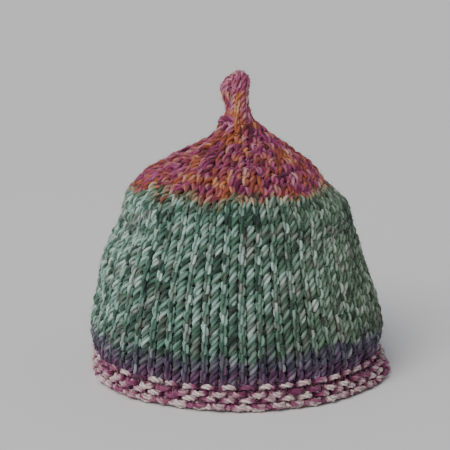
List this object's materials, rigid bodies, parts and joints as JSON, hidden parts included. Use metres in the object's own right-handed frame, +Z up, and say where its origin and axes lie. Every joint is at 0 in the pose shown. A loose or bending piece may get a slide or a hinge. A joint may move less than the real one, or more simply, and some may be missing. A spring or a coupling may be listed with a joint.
{
  "type": "knitted tea cosy",
  "caption": "Hollow hand-knitted tea cosy with a garter hem, a slit at each side, a gathered crown and a knitted cord loop on top.",
  "frame": {"origin": "on the surface the hem stands on, under the middle of the whole part's box", "axes": "+Z up towards the loop, -Y towards the front, -X towards the narrow handle slit, +X towards the wide spout slit"},
  "size_m": [0.1731, 0.1637, 0.1715],
  "materials": {
    "cover_yarn": "chunky plied self-striping wool, mint to dark green with grey flecks, purple at the foot, pink, magenta and orange crown, cream and magenta hem",
    "loop_yarn": "the same chunky plied wool in pink, magenta and orange"
  },
  "bodies": {
    "root": {"knitted_cover": "cover_yarn", "top_loop": "loop_yarn"}
  },
  "joints": []
}
